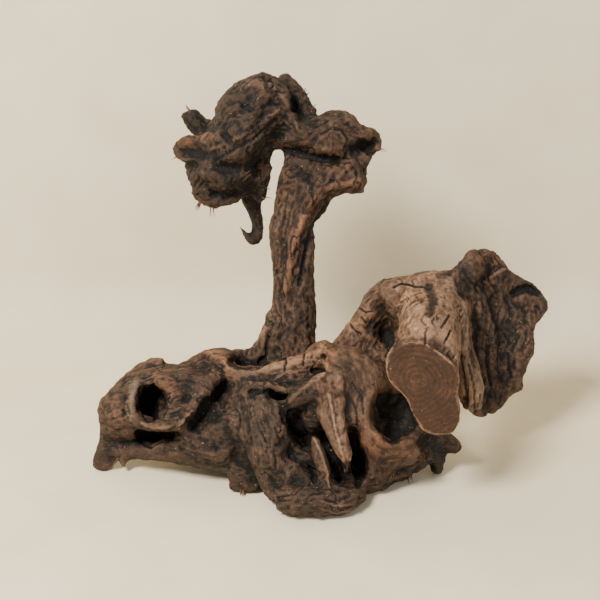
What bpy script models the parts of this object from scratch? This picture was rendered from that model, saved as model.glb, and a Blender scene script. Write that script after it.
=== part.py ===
"""A gnarled piece of driftwood: one root burl with a tall stem, a hooked head and a sawn side branch.

Everything is laid out as a viewer in front of it sees it. A place is (right, up, near): millimetres to
the right and up across the view, at the distance of the object's middle, and millimetres from that
middle towards the viewer. seen() turns a place into the object's own frame, in metres, with Z up.
"""

from math import cos, radians, sin

import bmesh
import bpy
import numpy as np
from mathutils import Matrix, Vector, noise
from mathutils.bvhtree import BVHTree

MM = 0.001

# The viewer looks down on the object by this angle, from this far away in millimetres.
VIEW_PITCH = radians(23)
VIEW_DISTANCE = 790
RIGHT = Vector((1, 0, 0))
UP = Vector((0, sin(VIEW_PITCH), cos(VIEW_PITCH)))
NEAR = Vector((0, -cos(VIEW_PITCH), sin(VIEW_PITCH)))

# Strokes are pressed in from the front or from the far side, where the skin faces that way and is in sight.
FRONT = 1
BACK = -1
GRAZING = 0.05
FULL_FACING = 0.35
SIGHT_START = 2 * MM

FLOOR_Z = -102 * MM
GROUND_BLOCK = Vector((400, 400, 40)) * MM
BULK_VOXEL = 2.0 * MM
FINE_VOXEL = 1.4 * MM
RING_SIDES = 20
ROUTE_STEPS = 4
TRIANGLES = 11600

# The fine remesh and its smoothing take this many millimetres off a thin limb, so it starts thicker.
SPARE = 0.8
SHEET_BEVEL = 0.08

WOOD_COLOR = (0.075, 0.045, 0.03, 1)
WOOD_ROUGHNESS = 0.85

# Limbs. Each station is (right, up, near, half width across the view, half depth along it).
BULK = {
    "burl": [(-131, -76, 3, 10, 10), (-122, -75, 3, 16, 17), (-108, -70, 4, 22, 23), (-94, -66, 5, 24.5, 26),
             (-72, -69, 5, 27, 28), (-46, -79, 6, 30, 32), (-15, -80, 8, 31, 36), (20, -79, 8, 31, 38),
             (48, -74, 6, 35, 34), (68, -84, 2, 23, 28), (80, -94, -2, 12, 16)],
    "jaw": [(-118, -98, 0, 6, 8), (-104, -97.5, 2, 7, 11), (-86, -96, 5, 9, 16), (-64, -97, 8, 13, 22),
            (-44, -96, 10, 15, 26)],
    "front_lump": [(-12, -132, 44, 9, 11), (-6, -132, 47, 11, 13), (6, -131, 50, 11, 14),
                   (22, -130, 48, 11, 13), (33, -129, 42, 8, 11), (39, -127, 36, 6, 9)],
    "lump_root": [(0, -98, 20, 24, 26), (6, -113, 34, 20, 18), (10, -125, 44, 13, 12)],
    "lump_neck": [(-12, -108, 30, 12, 12), (-10, -118, 38, 11, 12), (-9, -127, 43, 9, 11)],
    "lump_shoulder": [(26, -108, 28, 12, 12), (27, -118, 34, 10, 12), (27, -126, 40, 9, 11)],
    "under_right": [(28, -108, 28, 17, 16), (46, -109, 27, 15, 15), (62, -105, 20, 12, 13),
                    (80, -101, 10, 9, 10)],
    "drape": [(-36, -62, 24, 11, 13), (-27, -68, 31, 13, 14), (-22, -82, 36, 14, 15), (-21, -97, 38, 14, 15),
              (-20, -112, 36, 10, 12), (-16, -122, 36, 5, 8)],
    "stem": [(-3, -60, -14, 19, 16), (-4, -34, -12, 15.2, 14), (-4, -12, -9, 14.6, 13),
             (-4.2, 10, -6, 14.6, 12), (-4.5, 32, -3, 15.4, 12), (-4.5, 48, 0, 16, 12),
             (-1, 62, 2, 17.4, 12.5), (5.5, 76, 5, 21, 14), (13, 88, 8, 24, 15), (20, 100, 9, 21, 14)],
    "bridge": [(-24, 118, 9, 19, 18), (-8, 110, 9, 13, 15), (8, 107, 9, 13, 14), (22, 106, 9, 16, 14),
               (32, 104, 8, 15, 12)],
    "head": [(-8, 126, 8, 17, 15), (-20, 124.5, 11, 23, 20), (-32, 121.5, 13, 22.6, 22),
             (-41, 107, 13, 19.5, 21), (-47, 93, 12, 21, 19), (-49, 80, 10, 19, 17),
             (-50, 72, 9, 13, 12)],
    "snout": [(-52, 97, 12, 12, 12), (-65, 97, 13, 10, 10), (-76, 98, 14, 8.5, 8)],
    "cheek": [(-56, 90, 9, 10, 12), (-63, 81, 8, 11, 11), (-63, 73, 6, 8, 9), (-60, 66, 4, 6, 7)],
    "arm": [(22, -47, -12, 13, 14), (34, -32, -10, 13.5, 13), (46, -16, -7, 14, 13), (58, -2, -4, 16.5, 15),
            (72, 1, 0, 17, 16), (90, 3, 0, 17, 18), (104, 5, -3, 14, 14)],
    "web": [(46, -16, -10, 13, 11), (56, -22, -10, 13, 12), (68, -26, -10, 13, 12)],
    "web_foot": [(38, -38, -8, 12, 12), (53, -40, -8, 14, 12), (68, -42, -8, 12, 12)],
    "ridge": [(-62, -38, 0, 8, 9), (-53, -40, 8, 8, 9), (-43, -49, 15, 8, 10), (-28, -49.5, 19, 7.5, 10),
              (-10, -46.5, 21, 7.5, 10), (6, -42, 22, 8, 10), (15, -37, 22, 8, 10)],
    "saddle": [(16, -38, 20, 11, 11), (30, -42, 23, 14, 11), (42, -50, 27, 15, 11), (43, -66, 34, 12, 11),
               (40, -79, 40, 9, 11), (45, -91, 42, 8, 10), (58, -98, 39, 7, 10), (74, -97, 30, 7, 10)],
    "spike_root": [(24, -48, 28, 10, 10), (24, -62, 36, 9, 10), (22, -76, 41, 7, 9), (23, -86, 45, 6, 7)],
    "plate_root": [(98, 4, -6, 14, 14), (110, -8, -8, 14, 11), (116, -28, -10, 12, 9), (119, -48, -10, 11, 8),
                   (119, -60, -8, 9, 7)],
    "plate_crest": [(96, 8, -4, 10, 11), (107, 14, -4, 9.5, 10), (116, 25, -4, 9, 8), (119, 28, -4, 7, 6)],
    "back_foot": [(-2, -66, -18, 26, 24), (6, -72, -42, 17, 17), (9, -75, -58, 11, 10), (9, -77, -66, 7, 7)],
    "back_knuckle": [(-44, -66, -16, 20, 20), (-54, -56, -36, 13, 13), (-60, -52, -48, 8, 8)],
    "pocket_floor": [(-50, -58, -6, 12, 12), (-26, -58, -8, 13, 14), (0, -58, -8, 14, 14),
                     (18, -58, -4, 13, 14)],
}

# The sawn branch comes straight at the viewer, so its rings lie across the view.
BRANCH = [(86, 0, -8, 22, 18), (86, -4, 8, 22, 18), (85, -13, 24, 21, 20), (84, -26, 42, 21, 22),
          (82, -40, 58, 22, 24)]
FIN = [(100, -2, 10, 12, 14), (103, -20, 14, 10, 16), (108, -40, 16, 8, 16), (111, -54, 14, 8.5, 14),
       (111, -64, 12, 9, 12), (110, -70, 10, 8, 10)]

# The outline of the saw cut across the end of the branch, and how far it stands towards the viewer.
CUT_FACE = [(56, -34), (60, -30), (70, -26.5), (80, -27), (88, -32), (96, -38), (103, -46), (104.5, -53),
            (101, -60), (104.5, -67), (105, -75), (102, -83), (95, -87), (87, -88.5), (80, -86), (75, -79),
            (71, -70), (69, -63), (62, -57), (57, -51), (55.5, -42)]
CUT_PLACE = (81, -57, 74)
CUT_FACING = (0.03, -0.28, 0.96)

# The branch's last stretch: the share of that outline, how far past the cut, and its (right, up) shift.
BRANCH_END = [(0.72, -30, (2, 14)), (0.94, -21, (1, 4)), (1, -15, (0, 0)), (1, 14, (0, 0))]
CUT_BLOCK = Vector((62, 92, 40)) * MM

# Thin limbs, joined on after the bulk has been smoothed.
TWIGS = {
    "hook": [(-34, 76, -8, 8, 6), (-31.5, 65, -12, 6.6, 5), (-29.3, 56, -14, 5.2, 4.4),
             (-27.4, 47, -15, 3.6, 3.8), (-28, 40, -15, 3.6, 3.4), (-32.5, 38, -14, 2.8, 2.8),
             (-35.8, 43, -13, 2, 2.2), (-38.6, 50, -12, 1.6, 1.8)],
    "head_nub": [(-56, 106, 2, 6, 6), (-64, 113, 2, 7, 6), (-70.5, 118, 2, 7.2, 6),
                 (-74.5, 122.5, 2, 5.2, 5)],
    "crest": [(-14, 142.5, 4, 6, 8), (-8.5, 140.5, 3, 6.5, 7), (-4, 133.5, 2, 6.5, 6), (1.5, 126, 2, 6.5, 6),
              (8, 120, 3, 5, 5)],
    "arch_top": [(-25, 95, 4, 6, 8), (-21, 101, 4, 6, 8), (-15, 103.5, 4, 6, 8), (-9, 100, 4, 5, 8),
                 (-6, 92, 4, 5, 8)],
    "head_fringe": [(-23.5, 94, 4, 6, 8), (-25, 80, 2, 6, 7), (-26, 70, 0, 5, 5), (-25, 62, -2, 3, 3)],
    "beak": [(26, 108, 9, 12, 10), (38, 107, 8, 7, 8), (46, 105.5, 8, 4.6, 5), (50.5, 102.5, 8, 3.4, 4)],
    "beak_side": [(35, 102, 3, 8, 8), (38, 93, 3, 7, 8), (36, 84, 4, 7, 8), (34, 78, 6, 7, 8)],
    "low_claw": [(26, 82.5, 8, 10, 10), (34, 77.5, 9, 8, 7), (41, 74.5, 9, 6.2, 5), (43.5, 73.5, 9, 4, 4)],
    "brow": [(22, 110, 8, 10, 9), (30, 115, 7, 8, 7), (35, 120, 7, 5, 5)],
    "band_top": [(-58, -37, 4, 4, 6), (-49, -34.5, 3, 4.5, 6), (-42, -35.5, 1, 4, 6)],
    "stem_flange": [(-12, -8, -10, 8, 8), (-14.5, -17, -11, 8, 8), (-18.5, -26, -12, 8, 8),
                    (-24, -36, -12, 8, 8), (-34, -42, -12, 10, 8), (-45, -42, -8, 10, 8)],
    "tip_prong": [(-119, -100, 4, 2.4, 2.4), (-116, -106, 5, 2, 2), (-113.5, -110.5, 5, 1.6, 1.6)],
    "bottom_claw": [(-38, -106, 22, 10, 10), (-37, -116, 24, 9, 8), (-36, -123, 26, 8, 5)],
    "flap": [(-25, -108, 30, 5, 7), (-23, -116, 34, 4.5, 7), (-19, -124, 38, 4, 7), (-16, -130, 41, 4, 6)],
    "right_foot": [(80, -96, 6, 9, 12), (87, -102, 6, 6, 8), (89.5, -108, 6, 4.4, 6), (90, -113, 6, 3, 4)],
    "right_claw": [(84, -90, 8, 8, 9), (94, -91, 7, 6.4, 7), (101, -95, 6, 5.2, 5),
                   (104, -98.5, 6, 3.4, 3.6)],
    "spike": [(22, -66, 41, 8, 7), (22.5, -78, 46, 7.5, 6.5), (25, -88, 49, 6.5, 5.5),
              (28.5, -98, 51, 5, 4.5), (32, -106.5, 52, 3, 3)],
    "spike_blade": [(15, -62, 40, 6, 6), (16, -74, 45, 4, 5), (19, -84, 48, 3, 4), (22, -92, 49, 2.5, 3)],
    "blade": [(9.5, -90, 44, 3, 5), (12.5, -101, 49, 4.2, 6), (16, -112, 50, 4.2, 6),
              (18.5, -122, 48, 3.4, 5)],
    "blade_root": [(18, -122, 44, 6, 8), (10, -124, 42, 6, 8), (2, -120, 40, 6, 8)],
    "ridge_end": [(6, -40, 22, 7, 8), (14, -34, 23, 7.5, 7), (20, -30.5, 23, 6.5, 6)],
    "ridge_under": [(-34, -55, 24, 4, 6), (-20, -57, 29, 4, 6), (-6, -58, 31, 4, 6), (6, -55, 32, 5, 7),
                    (16, -51, 31, 5, 7)],
    "wedge": [(14, -58, 34, 8, 10), (5, -61, 39, 7, 8), (-3, -65, 42, 5, 6), (-10, -69.5, 43, 2.6, 3.5)],
    "wedge_foot": [(4, -66, 32, 7, 8), (6, -76, 32, 6, 8), (10, -84, 34, 4, 6)],
    "drape_rib": [(-15, -66, 38, 4, 5), (-13, -78, 42, 4.5, 5), (-12, -90, 44, 4.5, 5),
                  (-16, -101, 44, 4, 5)],
    "low_root": [(-14, -104, 40, 6, 7), (-4, -110, 44, 6, 7), (4, -117, 45, 5, 6)],
    "knot_curb": [(47, -58, 30, 5, 6), (42.5, -68, 37, 4.5, 6), (43, -80, 42, 4.5, 6), (49, -90, 45, 4.5, 6),
                  (60, -95, 43, 4, 6), (73, -93, 35, 4, 6)],
    "lip": [(-108, -76, 24, 5, 6), (-100, -80, 27, 4.5, 6), (-90, -81, 29, 4, 6), (-81, -80, 29, 4.5, 6),
            (-75, -74, 28, 5, 6)],
}

# Thin sheets: thickness, a hollow or domed middle, and the edge, each place as (right, up, near).
SHEETS = {
    "plate": (9, (128, -20, -20),
              [(104, 20, -4), (110, 32, -7), (119, 34.5, -10), (127, 31, -12), (134, 22, -14), (142, 15, -16),
               (150, 13, -17), (156, 6, -18), (162, -5, -18), (159, -11, -17), (150, -19, -16),
               (152.5, -30, -14), (150, -38, -13), (146.5, -47, -12), (146, -58, -11), (137, -61, -11),
               (130, -71.5, -9), (120, -79, -4), (109, -76, 4), (105, -60, 2), (108, -30, 0), (106, 0, -2)]),
    "left_tip": (9, (-126, -98, 1),
                 [(-119, -84, 0), (-129, -83, -1), (-131, -91, -1), (-131, -98, 0), (-136, -106, 0),
                  (-133, -109, 0), (-125, -111, 0), (-119, -102, 1)]),
    "lobe_top": (14, (-98, -48, 0),
                 [(-84, -48, 0), (-87, -43, 0), (-90, -39, 0), (-97, -39, 0), (-103, -43, 0), (-110, -46, 0),
                  (-116, -52, 0), (-117, -58, 0), (-100, -62, 0)]),
    "fold_top": (14, (-62, -42, 2), [(-49, -31, 4), (-55, -31.5, 3), (-62, -33.5, 2), (-68, -36, 1),
                                     (-76, -42, 0), (-72, -54, 2), (-56, -52, 6), (-46, -44, 8)]),
    "head_skirt": (9, (-58, 74, 6),
                   [(-70, 90, 8), (-74, 85, 7), (-74, 79, 6), (-67, 74, 5), (-72, 69, 4), (-63, 63, 3),
                    (-57, 59, 3), (-53, 62, 4), (-40, 64, 4), (-34, 70, 4), (-38, 84, 6)]),
    "snout_end": (9, (-74, 98, 13), [(-64, 107, 12), (-72, 107, 13), (-78, 105, 13), (-82, 99, 13),
                                     (-81, 91, 12), (-72, 89, 11), (-62, 90, 11)]),
    "beak_tip": (7, (44, 103, 7),
                 [(34, 112, 8), (44, 111.5, 8), (50, 109.5, 8), (54, 105.5, 8), (54, 99, 8), (52, 96.5, 7),
                  (47, 94.5, 5), (43, 91, 4), (36, 92, 4), (32, 102, 6)]),
    "claw_fringe": (10, (-36, -116, 24),
                    [(-45, -108, 20), (-42.5, -116, 22), (-42, -121, 24), (-38, -125, 26), (-33, -123.5, 26),
                     (-28, -124.5, 27), (-27, -118, 27), (-28, -108, 26)]),
    "lower_fringe": (9, (52, -117, 19),
                     [(36, -116, 25), (40, -133, 28), (43, -129, 26), (49, -128, 23), (55, -123, 21),
                      (64, -119, 16), (76, -114.5, 10), (79, -109, 8), (70, -104, 12), (54, -104, 20)]),
}

# Deep hollows seen from the front: how far each pushes the wood towards the viewer (or, under 0, away), half
# its width, how flat its floor is, and the run of its middle as (right, up).
HOLLOWS = {
    "knot_hole": (-25, 8, 6, [(-98, -63), (-94, -63), (-93.5, -68), (-98, -70.5), (-98.5, -64)]),
    "mouth": (-17, 5, 3, [(-104, -87), (-98, -88.5), (-90, -86), (-82, -83.5)]),
    "mouth_corner": (-7, 3.4, 2, [(-117, -94), (-109, -93.5), (-101, -92), (-94, -90)]),
    "dark_fold": (-15, 7.5, 2, [(-50, -57), (-54, -66), (-61, -75), (-68, -80)]),
    "fold_side": (-6, 5, 2, [(-50, -60), (-50, -74)]),
    "pocket": (-9, 7, 2, [(-42, -37), (-34, -41), (-27, -38)]),
    "cavity": (-28, 8, 3, [(-13, -63), (-9, -71), (-5, -78), (1, -85), (5, -92)]),
    "cavity_floor": (-15, 8, 2, [(1, -77), (8, -82), (14, -90)]),
    "low_cleft": (-14, 6, 2, [(-7, -101), (1, -106), (8, -112), (12, -116)]),
    "blade_cleft": (-18, 7, 2, [(17, -88), (21, -100), (25, -110), (28, -115)]),
    "spike_slit": (-19, 6.5, 3, [(34, -88), (37, -98), (38, -107), (37, -114)]),
    "claw_hole": (-13, 6, 2, [(-34, -112), (-31, -118)]),
    "knot_recess": (-15, 15, 5, [(59, -71), (62, -77), (66, -73)]),
    "branch_under": (-6, 4, 2, [(78, -92), (88, -92.5), (97, -91)]),
    "arm_hollow": (-9, 8, 2, [(52, -2), (56, -12), (57, -22)]),
    "bridge_cleft": (-11, 5, 2, [(-9, 96), (0, 97), (10, 93), (22, 90), (29, 92)]),
    "crest_hollow": (-12, 5, 2, [(-4, 132), (-1, 125), (3, 119)]),
    "dome_furrow_b": (-6, 4, 2, [(-20, 101), (-28, 92), (-36, 87), (-46, 85)]),
    "neck_pit": (-5, 6, 2, [(-14, 107)]),
    "black_hollow": (-15, 7, 2, [(-29, 90), (-28, 80), (-28, 70)]),
}

# Finer strokes, of the same kind, once the thin limbs are on.
STROKES = {
    "knot_rim": (2.5, 5, 2, [(-110, -62), (-107, -55), (-98, -51), (-87, -54), (-82, -63), (-85, -73),
                             (-94, -80), (-104, -79), (-110, -71), (-110, -62)]),
    "cheek_seam": (-2.5, 3, 2, [(-113, -60), (-114, -70), (-112, -78), (-118, -83)]),
    "mouth_lip": (3, 3, 2, [(-104, -80), (-96, -82), (-86, -81), (-79, -83), (-74, -76)]),
    "star_knot": (-3, 9, 2, [(-73, -57)]),
    "star_hole": (-6, 4, 2, [(-76, -65), (-71, -63)]),
    "jaw_line": (2, 4, 2, [(-95, -96), (-84, -92), (-70, -91), (-66, -96)]),
    "jaw_seam": (-4, 4, 2, [(-48, -82), (-44, -92), (-41, -102), (-37, -110)]),
    "band_groove": (-4, 3.5, 2, [(-62, -38), (-56, -44), (-50, -50), (-46, -56)]),
    "flange_seam": (-5, 2.6, 2, [(-21, -24), (-21, -32), (-24, -40)]),
    "ridge_slot": (-8, 3, 2, [(6, -48), (15, -45)]),
    "ridge_crevice": (-4, 3, 2, [(-34, -52), (-20, -53), (-8, -55), (0, -53), (8, -52)]),
    "arch": (3, 3, 2, [(-37, -61), (-31, -56), (-22, -55), (-13, -58), (-9, -65)]),
    "arch_groove": (-3, 3, 2, [(-33, -63), (-25, -60.5), (-17, -63)]),
    "drape_seam": (-3, 3, 2, [(-9, -91), (-15, -96), (-20, -101), (-22, -110)]),
    "drape_rib": (2, 5, 2, [(-20, -72), (-16, -84), (-15, -94)]),
    "drape_left": (-2.5, 3.5, 2, [(-39, -64), (-35, -76), (-33, -88), (-36, -100)]),
    "lump_seam": (-3, 3.5, 2, [(-17, -121), (-6, -119), (4, -118), (14, -122), (24, -123), (32, -126)]),
    "lump_groove": (-4, 3, 2, [(18, -130), (26, -129), (32, -126)]),
    "flap_edge": (3, 3, 2, [(-27, -113), (-21, -121), (-18, -129)]),
    "knot_dome": (4, 7, 2, [(60, -66)]),
    "knot_foot": (2.5, 6, 2, [(55, -80), (64, -84)]),
    "knot_lip": (3.5, 4.5, 2, [(48, -60), (43, -70), (44, -81), (50, -90), (60, -94), (73, -92)]),
    "saddle_seam": (-3, 3, 2, [(24, -50), (29, -57), (31, -67), (30, -78)]),
    "low_bulge": (3, 8, 2, [(45, -104), (53, -106)]),
    "low_hollow": (-5, 4, 2, [(43, -97), (40, -106), (42, -114)]),
    "under_edge": (-6, 3, 2, [(58, -116), (66, -111), (76, -109.5)]),
    "bark_patch": (-1.5, 5, 2, [(82, 9), (86, 1), (88, -6)]),
    "plate_seam": (-5, 3.5, 2, [(102, 13), (104, 4), (111, -4), (115, -18), (113, -34), (113, -44)]),
    "plate_rib": (4, 4, 2, [(121, 11), (128, 15), (134, 20)]),
    "plate_notch": (-3.5, 4, 2, [(139, 6), (146, 8), (152, 6)]),
    "plate_valley": (-3, 5, 2, [(121, -2), (122, -20), (124, -42), (123, -60)]),
    "plate_fold": (2, 4, 2, [(129, 2), (129, -20), (132, -44)]),
    "plate_gutter": (-2, 3, 2, [(136, 0), (136, -22), (138, -46)]),
    "plate_edge": (1.5, 4, 2, [(143, -14), (144, -34), (139, -54)]),
    "crest_pit": (-3.5, 4, 2, [(116, 22), (122, 24)]),
    "crest_knob": (2.5, 4, 2, [(112, 30), (119, 31)]),
    "bark_pit": (-3, 5, 2, [(105, 14), (107, 5)]),
    "stem_rib": (3, 4, 2, [(37, 77), (26, 75.5), (14, 72), (6, 63), (1, 50), (-3, 36), (-6, 24), (-9, 6)]),
    "stem_groove": (-2.5, 3, 2, [(19, 66), (12, 57), (8, 46), (4, 34), (1, 20)]),
    "stem_left": (-1.5, 3, 2, [(-13, 66), (-12, 48), (-11, 30), (-13, 8), (-14, -8)]),
    "block_arc": (2, 2.6, 2, [(20, 114), (14, 108), (13, 101), (18, 95)]),
    "block_shelf": (-4, 3, 2, [(5, 119), (12, 116), (18, 112)]),
    "beak_hollow": (-7, 4.4, 2, [(38, 97), (43, 102), (49, 104)]),
    "crest_ridge": (4, 4, 2, [(-14, 143), (-10, 134), (-7, 124), (-3, 114), (4, 106)]),
    "dome_ridge_a": (2.6, 3.2, 2, [(-17, 120), (-23, 110), (-30, 100), (-37, 91)]),
    "dome_ridge_b": (2.2, 3, 2, [(-27, 108), (-35, 101), (-45, 96), (-53, 92)]),
    "dome_ridge_c": (2, 3.5, 2, [(-20, 138), (-26, 128), (-33, 116), (-43, 108)]),
    "dome_furrow_a": (-3, 3, 2, [(-20, 126), (-27, 114), (-34, 104), (-44, 99)]),
    "dome_pit": (-4, 6, 2, [(-34, 126)]),
    "snout_top": (3, 3.2, 2, [(-51, 104), (-62, 106), (-72, 104), (-78, 101)]),
    "snout_face": (-4, 5, 2, [(-76, 95), (-66, 96), (-57, 94)]),
    "snout_seam": (-5, 3.6, 2, [(-73, 88), (-60, 87), (-49, 85)]),
    "chin_rib": (2.4, 3.6, 2, [(-62, 86), (-56, 78), (-47, 75), (-38, 76)]),
    "chin_furrow": (-3.5, 3, 2, [(-62, 76), (-56, 70), (-47, 68), (-39, 70)]),
}

# Strokes on the far side, in the same right and up, with depths measured into or out of the back.
BACK_STROKES = {
    "stem_valley": (-4, 5, 2, [(-6, 90), (-4, 60), (-8, 30), (-4, 0), (-8, -30)]),
    "head_valley": (-6, 6, 2, [(-10, 134), (-26, 122), (-36, 106), (-44, 88)]),
    "head_ridge": (4, 5, 2, [(-22, 138), (-42, 126), (-54, 108)]),
    "block_hollow": (-6, 8, 2, [(20, 106), (14, 96)]),
    "plate_bulge": (5, 12, 2, [(126, -4), (132, -30), (124, -52)]),
    "plate_furrow": (-4, 5, 2, [(112, 22), (116, -4), (112, -34)]),
    "arm_valley": (-5, 6, 2, [(98, 12), (76, 6), (56, -4), (38, -24), (20, -46)]),
    "lobe_hollow": (-8, 11, 2, [(-94, -64), (-84, -76)]),
    "lobe_ridge": (5, 6, 2, [(-118, -74), (-98, -50), (-74, -52)]),
    "burl_furrow_a": (-8, 7, 2, [(-60, -50), (-42, -74), (-38, -100)]),
    "burl_furrow_b": (-8, 7, 2, [(36, -44), (34, -70), (48, -98)]),
    "burl_furrow_c": (-7, 6, 2, [(60, -60), (70, -84), (64, -100)]),
    "burl_ridge": (5, 6, 2, [(52, -50), (54, -76), (60, -96)]),
}

# Under the burl the wood stands clear of the ground but for these feet: (right, up, near) and reach.
FEET = [((4, -131, 48), 24), ((26, -130, 46), 20), ((-20, -124, 36), 12), ((48, -122, 24), 15),
        ((-127, -108, 0), 12), ((90, -112, 6), 12), ((9, -77, -66), 12), ((-36, -124, 26), 10)]
FOOT_DEPTH = 1 * MM
CLEARANCE = 9 * MM
CLEARANCE_SLOPE = 0.35
CLEARANCE_WAVE = 22 * MM

# The grown bark is rough everywhere but round these places: (right, up, near), reach, and the share left.
SMOOTH_PLACES = [((84, -40, 60), 44, 0.15), ((90, -4, 20), 24, 0.4), ((110, -50, 14), 18, 0.4),
                 ((42, -60, 36), 20, 0.4), ((-4, 20, 0), 30, 0.6)]
# Each kind of roughness has its width and its height, and a place of its own in the noise.
NOISE_SEED = 3
BENDS = (30 * MM, 6 * MM)
LUMPS = (16 * MM, 1.5 * MM)
KNOBS = (7 * MM, 0.9 * MM)
KNOB_PLACE = Vector((7, 3, 5))
CREASES = (11 * MM, 1.8 * MM)
CREASE_PLACE = Vector((2, 9, 4))
CREASE_SHARPNESS = 5


def seen(right, up, near):
    """The point that the viewer sees at this place, in the object's frame, in metres."""
    spread = 1 - near / VIEW_DISTANCE
    return (RIGHT * right * spread + UP * up * spread + NEAR * near) * MM


def places(points):
    """The (right, up, near) of each point, as columns: the reverse of seen()."""
    near = points @ np.array(NEAR) / MM
    spread = 1 - near / VIEW_DISTANCE
    return points @ np.array(RIGHT) / MM / spread, points @ np.array(UP) / MM / spread, near


def route(stations):
    """A smooth run of stations that passes through the given ones."""
    points = np.array(stations, float)
    ends = np.vstack([2 * points[0] - points[1], points, 2 * points[-1] - points[-2]])
    run = []
    for a, b, c, d in zip(ends, ends[1:], ends[2:], ends[3:]):
        for t in np.arange(ROUTE_STEPS) / ROUTE_STEPS:
            run.append(b + t * (c - a) / 2 + t**2 * (a - 2.5 * b + 2 * c - d / 2)
                       + t**3 * (1.5 * (b - c) + (d - a) / 2))
    return run + [points[-1]]


def add_ring(bm, middle, across, along, closed):
    """One oval ring of a limb, spanned by its two half axes. Returns its edges."""
    matrix = Matrix((across, along, across.cross(along).normalized())).transposed().to_4x4()
    matrix.translation = middle
    made = bmesh.ops.create_circle(bm, cap_ends=closed, segments=RING_SIDES, radius=1, matrix=matrix)
    verts = made["verts"]
    return [bm.edges.get(pair) for pair in zip(verts, verts[1:] + verts[:1])]


def add_limb(bm, stations, facing=False, spare=0.0):
    """A closed tube along the stations. One that comes at the viewer has its rings across the view."""
    run = route(stations)
    middles = [seen(*place[:3]) for place in run]
    last = []
    for i, place in enumerate(run):
        heading = (middles[min(i + 1, len(run) - 1)] - middles[max(i - 1, 0)]).normalized()
        across = RIGHT if facing else heading.cross(NEAR)
        across = (across - heading * across.dot(heading)).normalized()
        along = heading.cross(across)
        size = (1 - place[2] / VIEW_DISTANCE) * MM
        ring = add_ring(bm, middles[i], across * (place[3] + spare) * size,
                        along * (place[4] + spare) * size, i in (0, len(run) - 1))
        if last:
            bmesh.ops.bridge_loops(bm, edges=last + ring)
        last = ring


def add_skin(bm, loops):
    """A closed body through rings of points that all have the same count."""
    rings = [[bm.verts.new(point) for point in loop] for loop in loops]
    for ring in (rings[0], rings[-1]):
        bm.faces.new(ring)
    for a, b in zip(rings, rings[1:]):
        for i in range(len(a)):
            j = (i + 1) % len(a)
            bm.faces.new((a[i], a[j], b[j], b[i]))


def grown(place, middle, by):
    """The place, moved this far away from the middle."""
    away = np.array(place, float) - middle
    return place + away / np.linalg.norm(away) * by


def add_sheet(bm, thickness, middle, edge):
    """A thin flake with a bevelled edge, hollow or domed towards its middle."""
    edge = [grown(place, middle, 2 * SPARE) for place in edge]
    sides = []
    for half in (thickness / 2, -thickness / 2):
        centre = bm.verts.new(seen(middle[0], middle[1], middle[2] + half))
        inner = [place + (middle - place) * SHEET_BEVEL + (0, 0, half) for place in edge]
        ring = [bm.verts.new(seen(*place)) for place in inner]
        for i, vert in enumerate(ring):
            bm.faces.new((centre, vert, ring[(i + 1) % len(ring)]))
        sides.append(ring)
    rim = [bm.verts.new(seen(*place)) for place in edge]
    for ring in sides:
        for i in range(len(rim)):
            j = (i + 1) % len(rim)
            bm.faces.new((ring[i], ring[j], rim[j], rim[i]))


def add_branch_end(bm):
    """The last stretch of the sawn branch, from inside the round limb to past the outline of its cut."""
    outline = np.array(CUT_FACE)
    centre = outline.mean(axis=0)
    loops = []
    for share, ahead, shift in BRANCH_END:
        corners = centre + (outline - centre) * share + shift
        loops.append([seen(*corner, CUT_PLACE[2] + ahead) for corner in corners])
    add_skin(bm, loops)


def baked(source, *modifiers):
    """A new mesh made from a bmesh or a mesh, with the modifiers applied."""
    if isinstance(source, bpy.types.Mesh):
        mesh = source
    else:
        bmesh.ops.recalc_face_normals(source, faces=source.faces)
        mesh = bpy.data.meshes.new("working")
        source.to_mesh(mesh)
        source.free()
    obj = bpy.data.objects.new("working", mesh)
    bpy.context.scene.collection.objects.link(obj)
    for kind, settings in modifiers:
        modifier = obj.modifiers.new(kind, kind)
        for key, value in settings.items():
            setattr(modifier, key, value)
    graph = bpy.context.evaluated_depsgraph_get()
    done = bpy.data.meshes.new_from_object(obj.evaluated_get(graph))
    bpy.data.objects.remove(obj)
    return done


def voxels(size):
    """Remakes the shape as one closed skin of small even squares."""
    return "REMESH", {"mode": "VOXEL", "voxel_size": size}


def smoothing(steps):
    """A softening of the skin."""
    return "SMOOTH", {"factor": 0.5, "iterations": steps}


def bulk_mesh():
    """The heavy limbs, joined and smoothed into one another."""
    bm = bmesh.new()
    for stations in BULK.values():
        add_limb(bm, stations)
    add_limb(bm, BRANCH, facing=True)
    add_limb(bm, FIN)
    add_branch_end(bm)
    mesh = baked(bm, voxels(BULK_VOXEL), smoothing(4))
    carve(mesh, HOLLOWS, FRONT)
    return mesh


def whole_mesh():
    """The bulk with the sheets and the thin limbs joined on."""
    bm = bmesh.new()
    bm.from_mesh(bulk_mesh())
    for thickness, middle, edge in SHEETS.values():
        add_sheet(bm, thickness, middle, edge)
    for stations in TWIGS.values():
        add_limb(bm, stations, spare=SPARE)
    return baked(bm, voxels(FINE_VOXEL), smoothing(2))


def read_points(mesh):
    """The mesh's points and their normals, as two arrays."""
    points = np.empty(len(mesh.vertices) * 3, np.float32)
    normals = np.empty(len(mesh.vertices) * 3, np.float32)
    mesh.vertices.foreach_get("co", points)
    mesh.vertices.foreach_get("normal", normals)
    return points.reshape(-1, 3).astype(float), normals.reshape(-1, 3).astype(float)


def move_points(mesh, points):
    """Puts the mesh's points in these places."""
    mesh.vertices.foreach_set("co", points.astype(np.float32).ravel())
    mesh.update()


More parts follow.
